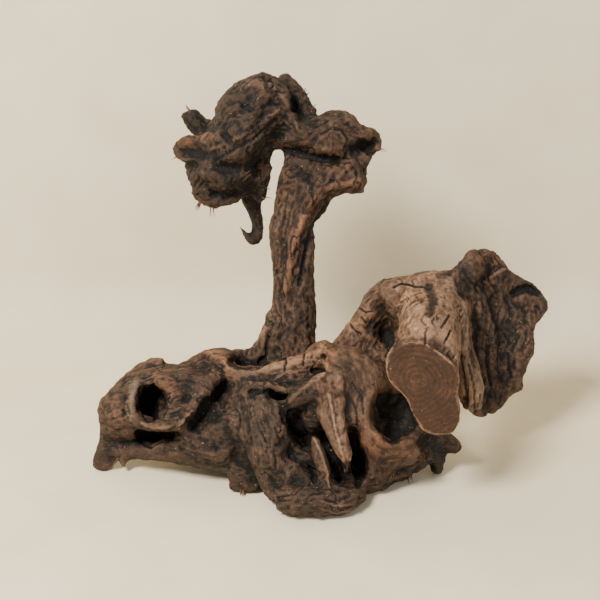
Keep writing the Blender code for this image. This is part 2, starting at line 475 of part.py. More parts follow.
def run_distance(right, up, run):
    """The distance in the view from each (right, up) to the nearest stretch of the run."""
    best = np.full(len(right), np.inf)
    run = np.array(run, float)
    for start, end in zip(run, run[1:] if len(run) > 1 else run):
        span = end - start
        length = max(float(span @ span), 1e-9)
        share = np.clip(((right - start[0]) * span[0] + (up - start[1]) * span[1]) / length, 0, 1)
        away = np.hypot(right - start[0] - share * span[0], up - start[1] - share * span[1])
        best = np.minimum(best, away)
    return best


def stroke_depth(strokes, right, up):
    """How far the strokes together push each point, in millimetres."""
    total = np.zeros(len(right))
    for depth, half_width, flatness, run in strokes.values():
        share = np.clip(run_distance(right, up, run) / half_width, 0, 1)
        total += depth * (1 - share**flatness) ** 2
    return total


def in_sight(mesh, points, normals, side):
    """From 0 to 1, how openly each point faces the viewer, or from the far side."""
    tree = BVHTree.FromPolygons([v.co for v in mesh.vertices], [p.vertices for p in mesh.polygons])
    eye = np.array(NEAR) * VIEW_DISTANCE * MM * side
    ways = eye - points
    ways /= np.linalg.norm(ways, axis=1)[:, None]
    facing = np.clip(((ways * normals).sum(axis=1) - GRAZING) / (FULL_FACING - GRAZING), 0, 1)
    for i in np.nonzero(facing)[0]:
        way = Vector(ways[i])
        if tree.ray_cast(Vector(points[i]) + way * SIGHT_START, way)[0]:
            facing[i] = 0
    return facing


def carve(mesh, strokes, side):
    """Pushes the strokes into the skin that can be seen from one side, along the line of sight."""
    points, normals = read_points(mesh)
    right, up, near = places(points)
    push = stroke_depth(strokes, right, up) * in_sight(mesh, points, normals, side)
    near = near + push * side
    spread = (1 - near / VIEW_DISTANCE)[:, None]
    flat = right[:, None] * np.array(RIGHT) + up[:, None] * np.array(UP)
    move_points(mesh, (flat * spread + near[:, None] * np.array(NEAR)) * MM)


def lift_belly(mesh):
    """Raises the underside clear of the ground, except at the feet."""
    points, _ = read_points(mesh)
    away = np.full(len(points), np.inf)
    for place, reach in FEET:
        foot = seen(*place)
        plan = np.hypot(points[:, 0] - foot.x, points[:, 1] - foot.y)
        away = np.minimum(away, np.maximum(plan - reach * MM, 0))
    wave = np.array([noise.noise(Vector((x, y, 0)) / CLEARANCE_WAVE) for x, y, _ in points])
    lift = np.minimum(away * CLEARANCE_SLOPE, CLEARANCE * (1 + wave / 2)) - FOOT_DEPTH
    points[:, 2] = np.maximum(points[:, 2], FLOOR_Z + lift)
    move_points(mesh, points)


def smoothness(right, up, near):
    """What share of the roughness is left at each point."""
    left = np.ones(len(right))
    for (a, b, c), reach, least in SMOOTH_PLACES:
        away = np.sqrt((right - a) ** 2 + (up - b) ** 2 + (near - c) ** 2) / reach
        left = np.minimum(left, least + (1 - least) * np.clip(away * 2 - 1, 0, 1))
    return left


def roughen(mesh):
    """Lumps, knobs and creases all over the grown skin."""
    noise.seed_set(NOISE_SEED)
    points, normals = read_points(mesh)
    amount = smoothness(*places(points))
    for i, point in enumerate(points):
        at = Vector(point)
        at += noise.noise_vector(at / BENDS[0]) * BENDS[1]
        lump = noise.noise(at / LUMPS[0]) * LUMPS[1]
        knob = noise.noise(at / KNOBS[0] + KNOB_PLACE) * KNOBS[1]
        crease = 1 - min(abs(noise.noise(at / CREASES[0] + CREASE_PLACE)) * CREASE_SHARPNESS, 1)
        points[i] += normals[i] * amount[i] * (lump + knob - crease * CREASES[1])
    move_points(mesh, points)


def add_cutter(place, across, facing, size):
    """A block that stands on a plane, on the side that the plane faces."""
    bm = bmesh.new()
    bmesh.ops.create_cube(bm, size=1)
    bmesh.ops.scale(bm, verts=bm.verts, vec=size)
    bmesh.ops.translate(bm, verts=bm.verts, vec=(0, 0, size[2] / 2))
    turn = Matrix((across, facing.cross(across), facing)).transposed()
    bmesh.ops.rotate(bm, verts=bm.verts, matrix=turn)
    bmesh.ops.translate(bm, verts=bm.verts, vec=place)
    mesh = bpy.data.meshes.new("cutter")
    bm.to_mesh(mesh)
    bm.free()
    cutter = bpy.data.objects.new("cutter", mesh)
    cutter.hide_render = True
    cutter.display_type = "WIRE"
    bpy.context.scene.collection.objects.link(cutter)
    return cutter


def cut_off(mesh, place, across, facing, size):
    """The mesh without what stands beyond a plane, within the block's size."""
    facing = facing.normalized()
    across = (across - facing * across.dot(facing)).normalized()
    cutter = add_cutter(place, across, facing, size)
    done = baked(mesh, ("BOOLEAN", {"operation": "DIFFERENCE", "solver": "EXACT", "object": cutter}))
    bpy.data.objects.remove(cutter)
    return done


def to_view(facing):
    """A direction given as (right, up, near), in the object's frame."""
    return RIGHT * facing[0] + UP * facing[1] + NEAR * facing[2]


def thinned(mesh):
    """The mesh with only the triangles it needs."""
    share = TRIANGLES / sum(len(face.vertices) - 2 for face in mesh.polygons)
    return baked(mesh, ("DECIMATE", {"ratio": share, "use_collapse_triangulate": True}))


def piece_at(vert):
    """Every point that is joined to this one by edges."""
    piece = {vert}
    front = [vert]
    while front:
        vert = front.pop()
        for edge in vert.link_edges:
            other = edge.other_vert(vert)
            if other not in piece:
                piece.add(other)
                front.append(other)
    return piece


def drop_crumbs(mesh):
    """Removes what the carving has cut loose and any bubble inside, so that the largest piece is left."""
    bm = bmesh.new()
    bm.from_mesh(mesh)
    pieces = []
    for vert in bm.verts:
        if not any(vert in piece for piece in pieces):
            pieces.append(piece_at(vert))
    pieces.sort(key=len)
    for crumb in pieces[:-1]:
        bmesh.ops.delete(bm, geom=list(crumb), context="VERTS")
    bm.to_mesh(mesh)
    bm.free()


def stand_at_origin(mesh):
    """Puts the middle of the object's foot at the origin. Returns how far it was moved."""
    points, _ = read_points(mesh)
    low, high = points.min(axis=0), points.max(axis=0)
    shift = np.array([(low[0] + high[0]) / 2, (low[1] + high[1]) / 2, low[2]])
    move_points(mesh, points - shift)
    return shift


def wood_material():
    """Dull weathered root wood."""
    material = bpy.data.materials.new("root_wood")
    material.use_nodes = True
    shader = material.node_tree.nodes["Principled BSDF"]
    shader.inputs["Base Color"].default_value = WOOD_COLOR
    shader.inputs["Roughness"].default_value = WOOD_ROUGHNESS
    return material


def main():
    for obj in list(bpy.data.objects):
        bpy.data.objects.remove(obj)
    mesh = whole_mesh()
    carve(mesh, STROKES, FRONT)
    carve(mesh, BACK_STROKES, BACK)
    lift_belly(mesh)
    mesh = baked(mesh, voxels(FINE_VOXEL), smoothing(1))
    roughen(mesh)
    mesh = baked(mesh, voxels(FINE_VOXEL))
    drop_crumbs(mesh)
    mesh = thinned(mesh)
    mesh = cut_off(mesh, seen(*CUT_PLACE), RIGHT, to_view(CUT_FACING), CUT_BLOCK)
    mesh = cut_off(mesh, Vector((0, 0, FLOOR_Z)), RIGHT, Vector((0, 0, -1)), GROUND_BLOCK)
    stand_at_origin(mesh)
    mesh.materials.append(wood_material())
    driftwood = bpy.data.objects.new("driftwood", mesh)
    bpy.context.scene.collection.objects.link(driftwood)


if __name__ == "__main__":
    main()
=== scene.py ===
"""The looks of a gnarled piece of driftwood: its grain, checks, splinters and weathered colours, with painted
shade in its cracks and hollows and painted light on a few lit tops.

Places on the wood are given as a viewer in front of it sees them: (right, up, near), in millimetres. Right
and up are measured across the view at the distance of the wood's middle, and near towards the viewer.
"""

from math import cos, pi, radians, sin

import bmesh
import bpy
import numpy as np
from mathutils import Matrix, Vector
from mathutils.bvhtree import BVHTree
from mathutils.kdtree import KDTree


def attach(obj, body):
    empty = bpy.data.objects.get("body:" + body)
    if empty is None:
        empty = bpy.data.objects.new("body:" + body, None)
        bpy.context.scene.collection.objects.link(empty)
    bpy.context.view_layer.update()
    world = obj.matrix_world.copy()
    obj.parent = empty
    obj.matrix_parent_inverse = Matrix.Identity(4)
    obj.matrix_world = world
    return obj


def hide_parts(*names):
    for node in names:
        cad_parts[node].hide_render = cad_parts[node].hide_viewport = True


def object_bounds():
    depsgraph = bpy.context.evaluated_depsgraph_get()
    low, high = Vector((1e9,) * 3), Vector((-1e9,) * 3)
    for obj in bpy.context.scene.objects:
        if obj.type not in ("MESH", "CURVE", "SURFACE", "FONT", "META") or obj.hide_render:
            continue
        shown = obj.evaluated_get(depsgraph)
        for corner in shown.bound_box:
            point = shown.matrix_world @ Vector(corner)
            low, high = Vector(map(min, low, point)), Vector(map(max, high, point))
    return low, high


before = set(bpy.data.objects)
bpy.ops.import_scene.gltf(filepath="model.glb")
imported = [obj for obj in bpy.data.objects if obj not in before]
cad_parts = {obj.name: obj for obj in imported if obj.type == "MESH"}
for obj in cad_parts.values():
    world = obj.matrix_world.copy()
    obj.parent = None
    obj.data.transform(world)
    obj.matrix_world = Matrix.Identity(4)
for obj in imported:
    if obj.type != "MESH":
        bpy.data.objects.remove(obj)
CAD_LOW, CAD_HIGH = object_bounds()

MM = 0.001

# The viewer looks down on the wood by this angle, from this far away in millimetres.
VIEW_PITCH = radians(23)
VIEW_DISTANCE = 790
RIGHT = np.array((1, 0, 0))
UP = np.array((0, sin(VIEW_PITCH), cos(VIEW_PITCH)))
NEAR = np.array((0, -cos(VIEW_PITCH), sin(VIEW_PITCH)))
VIEW_CENTRE = np.array((-14.91, 22.91, 102.0))
LENS = 72.9
SENSOR = 36

# The fine skin: its voxel, the triangles left after thinning, and how far it stays inside the solid's box.
SKIN_VOXEL = 1.05 * MM
SKIN_TRIANGLES = 192000
BOX_MARGIN = 0.1 * MM

# Limbs that the grain follows: (right, up, near) along each, how far from it the limb reaches, and then how
# rough it has weathered, how pale it is from 0 to 1, and how warm its colour is from 0, grey, to 1, orange.
LIMBS = {
    "stem": (
        [(-4, -50, -12), (-4, -12, -9), (-4, 32, -3), (-2, 60, 2), (8, 80, 5), (20, 100, 9)],
        18, 1.0, 0.42, 0.5),
    "block": ([(-4, 84, 8), (16, 104, 9), (36, 106, 8), (52, 102, 8)], 17, 1.0, 0.4, 0.5),
    "head": (
        [(0, 122, 8), (-20, 124, 11), (-38, 114, 13), (-46, 96, 12), (-49, 78, 10)],
        23, 1.25, 0.27, 0.35),
    "snout": ([(-50, 97, 12), (-66, 97, 13), (-80, 98, 14)], 11, 1.1, 0.36, 0.7),
    # The hook is made dark as painted shade: it hangs in the shade under the head.
    "hook": ([(-34, 76, -8), (-29, 56, -14), (-28, 42, -15), (-38, 48, -12)], 6, 0.7, 0.14, 0.3),
    "nub": ([(-56, 106, 2), (-66, 114, 2), (-75, 123, 2)], 7, 1.2, 0.12, 0.2),
    "arm": ([(20, -50, -12), (34, -32, -10), (46, -16, -7), (60, 0, -4), (74, 3, 0)], 15, 0.8, 0.62, 0.6),
    "branch": (
        [(88, 10, -20), (86, 0, 0), (85, -13, 24), (84, -28, 44), (81, -46, 72)],
        23, 0.5, 0.74, 0.6),
    "fin": ([(98, 4, 8), (104, -24, 14), (110, -50, 15), (110, -72, 10)], 17, 0.55, 0.72, 0.35),
    "plate": (
        [(114, 26, -6), (126, 6, -14), (130, -20, -14), (126, -50, -11), (120, -76, -6)],
        26, 1.0, 0.4, 0.45),
    "ridge": (
        [(-62, -38, 0), (-44, -48, 15), (-28, -49, 19), (-6, -45, 21), (20, -34, 22)],
        9, 0.9, 0.58, 0.6),
    "saddle": (
        [(20, -36, 20), (36, -46, 26), (44, -66, 34), (42, -84, 42), (58, -99, 39), (78, -97, 30)],
        13, 0.4, 0.5, 0.6),
    "spike": ([(20, -56, 36), (22, -76, 45), (26, -90, 49), (33, -108, 52)], 8, 0.6, 0.56, 0.55),
    "blade": ([(9, -88, 43), (13, -102, 49), (18, -122, 48)], 5, 0.6, 0.42, 0.4),
    "drape": ([(-32, -56, 26), (-26, -72, 33), (-22, -90, 38), (-18, -118, 38)], 14, 1.0, 0.38, 0.3),
    "lobe_top": ([(-118, -52, 3), (-98, -44, 2), (-74, -44, 4), (-58, -36, 4)], 14, 0.8, 0.5, 0.6),
    "lobe": ([(-128, -74, 3), (-100, -70, 10), (-72, -66, 14), (-48, -78, 16)], 22, 0.8, 0.38, 0.45),
    "jaw": ([(-130, -100, 1), (-104, -96, 4), (-76, -97, 8), (-44, -98, 14)], 13, 0.45, 0.34, 0.4),
    "lump": ([(-14, -130, 44), (6, -131, 50), (38, -126, 36)], 12, 0.9, 0.36, 0.4),
    "belly": ([(-60, -84, 0), (-20, -90, 6), (20, -92, 8), (64, -96, 4)], 30, 0.9, 0.26, 0.4),
}


def places(points):
    """The (right, up, near) of each point, as columns."""
    away = points / MM - VIEW_CENTRE
    near = away @ NEAR
    spread = 1 - near / VIEW_DISTANCE
    return away @ RIGHT / spread, away @ UP / spread, near


def seen(right, up, near):
    """The point at this place, in metres."""
    spread = 1 - near / VIEW_DISTANCE
    return (RIGHT * right * spread + UP * up * spread + NEAR * near + VIEW_CENTRE) * MM


def linear(code):
    """A colour written as sRGB hex, as linear light."""
    parts = [int(code[i:i + 2], 16) / 255 for i in (1, 3, 5)]
    return [p / 12.92 if p <= 0.04045 else ((p + 0.055) / 1.055) ** 2.4 for p in parts] + [1]


def gradient_noise(at, seed):
    """Smooth noise from -1 to 1 at each of the points, with features about one unit wide."""
    cell = np.floor(at).astype(np.int64)
    part = at - cell
    fade = part * part * part * (part * (part * 6 - 15) + 10)
    total = np.zeros(len(at))
    for corner in range(8):
        step = np.array([corner & 1, corner >> 1 & 1, corner >> 2 & 1])
        mixed = (cell + step) @ np.array([73856093, 19349663, 83492791]) + seed * 2654435761
        mixed = (mixed ^ (mixed >> 13)) * 1274126177
        mixed = mixed ^ (mixed >> 16)
        slope = np.stack([(mixed >> shift & 255) / 127.5 - 1 for shift in (0, 8, 16)], axis=1)
        weight = np.where(step, fade, 1 - fade).prod(axis=1)
        total += weight * ((part - step) * slope).sum(axis=1)
    return np.clip(total * 1.2, -1, 1)


def ridged(at, seed, width):
    """Narrow lines where the noise crosses zero: 1 on the line and 0 at this width from it."""
    return np.clip(1 - np.abs(gradient_noise(at, seed)) / width, 0, 1)


def read_mesh(mesh):
    """The mesh's points and normals, as two arrays."""
    points = np.empty(len(mesh.vertices) * 3, np.float32)
    normals = np.empty(len(mesh.vertices) * 3, np.float32)
    mesh.vertices.foreach_get("co", points)
    mesh.vertices.foreach_get("normal", normals)
    return points.reshape(-1, 3).astype(float), normals.reshape(-1, 3).astype(float)


def write_points(mesh, points):
    """Puts the mesh's points in these places."""
    mesh.vertices.foreach_set("co", points.astype(np.float32).ravel())
    mesh.update()


def baked(mesh, *modifiers):
    """A new mesh: this one with the modifiers applied."""
    obj = bpy.data.objects.new("working", mesh)
    bpy.context.scene.collection.objects.link(obj)
    for kind, settings in modifiers:
        modifier = obj.modifiers.new(kind, kind)
        for key, value in settings.items():
            setattr(modifier, key, value)
    graph = bpy.context.evaluated_depsgraph_get()
    done = bpy.data.meshes.new_from_object(obj.evaluated_get(graph))
    bpy.data.objects.remove(obj)
    return done


def merged_copy(node):
    """The CAD node's mesh with its loose triangles joined."""
    bm = bmesh.new()
    bm.from_mesh(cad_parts[node].data)
    bmesh.ops.remove_doubles(bm, verts=bm.verts, dist=0.002 * MM)
    mesh = bpy.data.meshes.new("copy")
    bm.to_mesh(mesh)
    bm.free()
    return mesh


def neighbour_mean(values, edges, rounds):
    """The values averaged with their neighbours' along the edges, this many times."""
    count = np.bincount(edges.ravel(), minlength=len(values))[:, None] + 1
    for _ in range(rounds):
        total = values.copy()
        for column in range(values.shape[1]):
            total[:, column] += np.bincount(edges[:, 0], values[edges[:, 1], column], len(values))
            total[:, column] += np.bincount(edges[:, 1], values[edges[:, 0], column], len(values))
        values = total / count
    return values


def run_distance(right, up, run):
    """The distance in the view from each (right, up) to the nearest stretch of the run."""
    best = np.full(len(right), np.inf)
    run = np.array(run, float)
    for start, end in zip(run, run[1:] if len(run) > 1 else run):
        span = end - start
        length = max(float(span @ span), 1e-9)
        share = np.clip(((right - start[0]) * span[0] + (up - start[1]) * span[1]) / length, 0, 1)
        away = np.hypot(right - start[0] - share * span[0], up - start[1] - share * span[1])
        best = np.minimum(best, away)
    return best


def limb_axis(points, run):
    """Each point's place beside a limb: how far along, its offset from the limb's middle line, and its length."""
    spots = [seen(*spot) / MM for spot in run]
    best = np.full(len(points), np.inf)
    along = np.zeros(len(points))
    offset = np.zeros((len(points), 3))
    passed = 0
    for start, end in zip(spots, spots[1:]):
        span = end - start
        length = float(np.linalg.norm(span))
        share = np.clip((points - start) @ span / length ** 2, 0, 1)
        away = points - start - share[:, None] * span
        far = np.linalg.norm(away, axis=1)
        closer = far < best
        best = np.where(closer, far, best)
        along = np.where(closer, passed + share * length, along)
        offset = np.where(closer[:, None], away, offset)
        passed += length
    return along, offset, best


def grain_of(points):
    """The grain at each point, in mm along and across its limb, with the limb's own finish.

    Returns the three grain places, how far inside its limb each point is from 0, on a border, to 1, and the
    limb's roughness, paleness and warmth, blended across the borders.
    """
    wander = np.stack([gradient_noise(points / 14, seed) for seed in (1, 2, 3)], axis=1) * 5
    count = len(points)
    closest = np.full(count, np.inf)
    second = np.full(count, np.inf)
    grain = np.zeros((count, 3))
    weights = np.zeros(count)
    finish = np.zeros((count, 3))
    for run, reach, rough, pale_with_painted_shade_and_light, warm in LIMBS.values():
        along, offset, far = limb_axis(points + wander, run)
        share = far / reach
        chord = seen(*run[-1]) - seen(*run[0])
        chord /= np.linalg.norm(chord)
        side = np.cross(chord, (0.3, 0.2, 1.0))
        side /= np.linalg.norm(side)
        place = np.stack([along, offset @ side, offset @ np.cross(chord, side)], axis=1)
        closer = share < closest
        second = np.where(closer, closest, np.minimum(second, share))
        closest = np.where(closer, share, closest)
        grain = np.where(closer[:, None], place, grain)
        weight = np.exp(-6 * share)
        weights += weight
        finish += weight[:, None] * (rough, pale_with_painted_shade_and_light, warm)
    inside = np.clip((second - closest) / 0.12, 0, 1)
    return grain, inside, finish / weights[:, None]


# Marks that the viewer sees: what it is, its run of (right, up), and its width and depth in mm. A depth above
# nought cuts in, and one below it stands out. Then how much paler and how much warmer it makes the wood. Where a
# hole, fold, crack, gap, pocket or hollow cuts in, its darkening is painted shade; the bark marks are darker in
# their own colour.
MARKS = [
    # The left lobe: its knot hole, the worn ridge beside it, the cheek, the mouth and the jaw.
    ("hole", [(-97, -60), (-98, -67), (-97, -74)], 6, 4.0, -0.5, -0.2),
    ("worn ridge", [(-107, -54), (-109, -64), (-111, -76)], 4.2, -0.4, 0.26, -0.45),
    ("worn patch", [(-90, -50), (-84, -58)], 7, -0.3, 0.16, 0.3),
    ("cheek", [(-126, -68), (-118, -76)], 8, -0.3, 0.14, 0.1),
    ("pit", [(-115, -72), (-114, -74)], 1.6, 1.4, -0.3, 0),
    ("flake", [(-100, -38), (-91, -40)], 3, -1.0, 0.1, 0.1),
    ("lip", [(-103, -80), (-95, -83), (-84, -82), (-79, -83), (-74, -76), (-70, -72)], 1.3, -0.9, 0.3, 0),
    ("mouth", [(-105, -87), (-96, -89), (-84, -87)], 3.2, 2.4, -0.5, 0),
    ("second line", [(-116, -93), (-105, -91), (-97, -96)], 1.2, 1.4, -0.35, 0),
    ("left tip", [(-127, -96), (-123, -103)], 4, 0.2, 0.05, 0.35),
    ("jaw line", [(-97, -96), (-90, -92), (-78, -91)], 0.9, 0.8, -0.15, 0),
    ("jaw edge", [(-98, -103), (-88, -104), (-78, -101)], 2.2, 0.2, 0.06, 0.3),
    ("fold", [(-50, -57), (-58, -66), (-66, -76)], 3.6, 2.6, -0.5, 0),
    ("wide fold", [(-62, -66), (-56, -76)], 6, 1.6, -0.4, 0),
    ("band", [(-60, -33), (-50, -36), (-42, -50)], 4.2, -0.5, 0.18, 0.3),
    ("pocket", [(-44, -40), (-32, -43), (-24, -40)], 4.5, 1.6, -0.42, 0),
    ("flange", [(-22, -18), (-26, -24), (-30, -30)], 1.6, -0.7, 0.24, 0),
    ("seam", [(-21, -24), (-22, -36), (-27, -42)], 1.2, 1.6, -0.4, 0),
    ("claw edge", [(-45, -112), (-38, -122), (-29, -126)], 2, 0.3, 0.02, 0.3),
    # The middle: the broken ridge, the shelf of splinters, the spike, the blade and the front lump.
    ("ridge", [(-38, -47), (-28, -45), (-10, -41), (0, -38), (12, -35)], 4, -0.6, 0.16, 0.1),
    ("ridge crack", [(-9, -38), (-10, -46)], 0.8, 1.5, -0.3, 0),
    ("ridge crack", [(3, -34), (2, -42)], 0.8, 1.5, -0.3, 0),
    ("broken tip", [(14, -31), (20, -34), (17, -42)], 4.5, -0.3, 0.22, 0.5),
    ("tip hole", [(15, -36), (16, -37)], 1.6, 1.8, -0.5, 0),
    ("slot", [(8, -46), (15, -46)], 1.8, 2.6, -0.5, 0),
    ("arch", [(-32, -54), (-15, -55), (-10, -58)], 1.6, -0.8, 0.22, 0.1),
    ("under the arch", [(-32, -59), (-18, -60), (-13, -64)], 2.2, 1.8, -0.35, 0),
    ("shelf", [(-10, -69), (-2, -61), (8, -53), (15, -48)], 2, -0.9, 0.22, 0.1),
    # Painted light: the shelf's lit top is made paler.
    ("shelf light", [(3, -70), (9, -68)], 1.6, -0.5, 0.25, 0),
    ("cavity", [(-11, -66), (-9, -78), (0, -86)], 4, 2.8, -0.5, 0),
    ("spike", [(26, -66), (28, -84), (32, -102)], 4.2, -0.6, 0.12, 0),
    ("spike edge", [(19, -62), (23, -84), (29, -106)], 1.1, -0.8, 0.26, 0),
    ("blade edge", [(9, -90), (13, -98), (17, -110), (19, -122)], 1.2, -0.9, 0.3, 0),
    ("gap", [(16, -92), (22, -104), (25, -116)], 2.8, 2.6, -0.5, 0),
    ("gap", [(36, -90), (36, -104), (38, -120)], 2.6, 2.4, -0.5, 0),
    ("diagonal", [(-6, -101), (3, -107), (12, -113)], 1.8, 2.2, -0.45, 0),
    ("drape crack", [(-25, -86), (-22, -92)], 0.9, 1.4, -0.35, 0),
    ("drape spot", [(-27, -97), (-25, -98)], 3, -0.2, 0.12, 0.4),
    ("drape spot", [(-14, -85), (-13, -87)], 2.6, -0.2, 0.12, 0.4),
    ("lump line", [(15, -131), (24, -134), (35, -133)], 1.1, -0.6, 0.2, 0),
    ("lump line", [(14, -136), (24, -139), (34, -137)], 0.9, -0.5, 0.18, 0),
    ("saddle arc", [(34, -54), (40, -62), (41, -74)], 0.9, 0.6, -0.12, 0),
    ("saddle arc", [(31, -60), (36, -70), (37, -82)], 0.9, 0.5, -0.1, 0),
    ("gold", [(38, -90), (46, -94), (54, -94)], 5, -0.2, 0.1, 0.35),
    ("recess", [(58, -68), (62, -78), (60, -88)], 7, 1.6, -0.5, 0),
    ("crescent", [(52, -62), (51, -68), (53, -74)], 1.8, 1.8, -0.4, 0),
    ("recess dome", [(59, -66), (58, -67)], 4.5, -1.6, 0.14, 0),
    # The right: the arm, the pale branch, the fin, the seam of bark and the plate.
    # Painted light: the arm's lit top face is made paler.
    ("arm light", [(30, -14), (38, -18)], 6, -0.3, 0.12, 0.35),
    ("arm crack", [(40, -11), (43, -15)], 0.7, 1.2, -0.35, 0),
    ("arm crack", [(33, -16), (36, -20), (40, -22)], 0.7, 1.2, -0.35, 0),
    ("arm crack", [(38, -5), (43, -8), (47, -7)], 0.7, 1.2, -0.35, 0),
    # Painted shade: the arm's underside, in the shade above the saddle, is made darker.
    ("arm underside", [(46, -17), (54, -22), (62, -30)], 6, 1.0, -0.42, 0),
    # Painted light: the branch's lit top is made paler.
    ("branch top", [(66, 6), (76, -8), (78, -24)], 9, -0.2, 0.1, 0),
    ("bark patch", [(84, 8), (87, 0), (84, -8)], 3.8, 1.2, -0.34, 0),
    ("smooth dark", [(90, 16), (97, 17)], 2.8, 0.6, -0.3, 0),
    ("flaky bark", [(108, 17), (108, 4)], 5.5, 0.8, -0.3, 0.1),
    ("seam strip", [(112, 0), (112, -20), (113, -38)], 3.6, 0.7, -0.12, 0.4),
    ("branch crack", [(61, 8), (66, 11), (74, 9), (85, 8)], 0.9, 1.3, -0.4, 0),
    ("branch crack", [(98, -20), (94, -28)], 0.8, 1.2, -0.4, 0),
    ("branch crack", [(82, -19), (81, -32), (83, -42)], 0.8, 0.9, -0.26, 0),
    ("branch crack", [(97, -10), (92, -18)], 0.8, 1.1, -0.35, 0),
    ("fin line", [(104, -34), (107, -52), (109, -70)], 0.8, 0.8, -0.22, 0),
    ("fin line", [(110, -42), (113, -56), (114, -72)], 0.8, 0.8, -0.2, 0),
    ("plate crease", [(122, -30), (122, -44), (124, -55)], 1.4, 1.8, -0.35, 0),
    ("plate crease", [(135, -35), (137, -50)], 1.3, 1.6, -0.35, 0),
    ("plate crack", [(133, -22), (137, -28)], 0.9, 1.4, -0.35, 0),
    # Painted shade: the wood under the plate's flake is made darker.
    ("under the flake", [(139, 4), (147, 8), (155, 5)], 3, 2.4, -0.45, 0),
    ("plate rib", [(120, 12), (127, 17), (133, 20)], 1.4, -0.8, 0.24, 0),
    ("knob", [(114, 26), (124, 28), (132, 24)], 5, -0.2, 0.06, 0.35),
    ("fringe", [(56, -111), (66, -114), (78, -113)], 3.2, 0.2, 0.1, 0.5),
    ("right foot", [(84, -92), (92, -100), (104, -104)], 7, 0.2, -0.14, 0),
    # The head and the stem.
    # Painted highlight: the dome's lit top is made paler.
    ("dome light", [(-40, 140), (-32, 143), (-26, 140)], 5, -0.3, 0.22, 0.1),
    ("crest", [(-20, 140), (-10, 130), (-5, 122), (-2, 112)], 1.8, -1.0, 0.16, 0.1),
    ("crest hollow", [(-4, 131), (-4, 124)], 3, 2.4, -0.4, 0),
    ("spiral furrow", [(-15, 118), (-30, 105), (-45, 97), (-57, 90)], 1.4, 1.6, -0.3, 0),
    ("spiral ridge", [(-14, 123), (-30, 111), (-46, 103), (-60, 97)], 1.6, -0.8, 0.14, 0.15),
    ("head pit", [(-50, 108), (-46, 104)], 3, 2.0, -0.35, 0),
    ("head pit", [(-18, 107), (-12, 106)], 3, 2.0, -0.35, 0),
    ("head pit", [(-36, 126), (-32, 124)], 2.6, 1.8, -0.3, 0),
    # Painted light: the snout's lit top is made paler.
    ("snout top", [(-78, 104), (-64, 106), (-53, 107)], 3.4, -0.3, 0.12, 0.35),
    # Painted shade: the snout's face, beneath its top, is made darker.
    ("snout face", [(-73, 95), (-60, 94)], 4.5, 1.0, -0.4, 0),
    ("skirt", [(-73, 69), (-62, 62), (-56, 59)], 3, 0.3, 0.06, 0.35),
    # Painted shadow: the inside of the head, in deep shadow under the dome, is made darker.
    ("inside of the head", [(-50, 90), (-42, 76), (-30, 70)], 8, 0.8, -0.3, 0),
    ("ring", [(14, 108), (20, 112), (27, 111), (31, 105), (29, 98)], 1.3, 0.9, -0.16, 0),
    ("cleft", [(-10, 97), (0, 95), (12, 92), (25, 91)], 2.4, 2.6, -0.5, 0),
    ("beak hollow", [(40, 102), (46, 97)], 4.5, 1.8, -0.42, 0),
    ("stem rib", [(38, 77), (20, 74), (10, 65), (2, 52), (-3, 38), (-6, 25), (-9, 6)], 2.6, -0.9, 0.22, 0.4),
    ("stem furrow", [(30, 68), (16, 60), (7, 46), (3, 30), (0, 10)], 1.6, 1.6, -0.3, 0),
    # Painted shade: the stem's top, under the head, is made darker.
    ("stem top", [(-5, 88), (4, 80)], 6, 0.4, -0.26, 0),
]

# The saw cut: its middle and the way that it faces, and the spacing of its growth rings.
CUT_PLACE = (81, -57, 74)
CUT_FACING = (0.03, -0.28, 0.96)
CUT_PITH = (76, -52, 74)
RING_SPACING = 3.1


def face_tree(mesh):
    """The mesh's faces, ready for rays to be cast at them."""
    points = [vertex.co for vertex in mesh.vertices]
    return BVHTree.FromPolygons(points, [face.vertices for face in mesh.polygons])


def in_sight(points, normals, tree):
    """Whether the viewer can see each point."""
    eye = Vector((VIEW_CENTRE + NEAR * VIEW_DISTANCE) * MM)
    seen_from = np.array(eye) - points
    faces_eye = (seen_from * normals).sum(axis=1) > 0
    result = np.zeros(len(points), bool)
    for index in np.nonzero(faces_eye)[0]:
        start = Vector(points[index] + normals[index] * 1.5 * MM)
        result[index] = tree.ray_cast(start, eye - start)[0] is None
    return result


def carve_marks(points, visible):
    """How far the marks push each point in, in mm, with what they add to its paleness and its warmth. The
    paleness they add holds painted shade in the marks that cut in and under other parts, and painted light on the
    lit tops.
    """
    right, up, _ = places(points[visible])
    waver = gradient_noise(points[visible] / MM / 2.5, 11) * 0.35
    total = np.zeros((len(right), 3))
    for _, run, width, depth, pale_with_painted_shade_and_light, warm in MARKS:
        away = run_distance(right, up, run) / (width * (1 + waver))
        profile = np.clip(1 - away * away, 0, 1)
        total += profile[:, None] * (depth, pale_with_painted_shade_and_light, warm)
    result = np.zeros((len(points), 3))
    result[visible] = total
    return result


def weathering(at, grain, inside, rough):
    """How far weather has lifted or eaten the wood at each point, in mm, and how deep the cracks are there."""
    fibre = grain / (26, 2.6, 2.6)
    ridge = gradient_noise(fibre, 21) * 0.6 + gradient_noise(fibre * (1.6, 2.1, 2.1), 22) * 0.45
    swell = gradient_noise(grain / (30, 7, 7), 23) * 0.7
    checks = ridged(grain / (24, 4.5, 4.5), 24, 0.1) * np.clip(gradient_noise(at / 13, 25) * 4 - 0.3, 0, 1)
    blocks = ridged(grain / (5, 11, 11), 26, 0.08) * np.clip(gradient_noise(at / 16, 27) * 4 - 1.0, 0, 1)
    pits = np.clip(gradient_noise(at / 4.2, 28) - 0.42, 0, 1) * 5
    lumps = gradient_noise(at / 11, 29) * 0.7 + gradient_noise(at / 5, 30) * 0.9
    lumps += gradient_noise(at / 2.7, 31) * 0.6
    crack = np.clip((checks * 1.1 + blocks * 0.9) * inside * np.sqrt(rough), 0, 1)
    lift = rough * (inside * (ridge + swell) * 1.05 + lumps * 0.9 - pits * 0.7) - crack * 1.2
    return lift, crack, ridge * inside


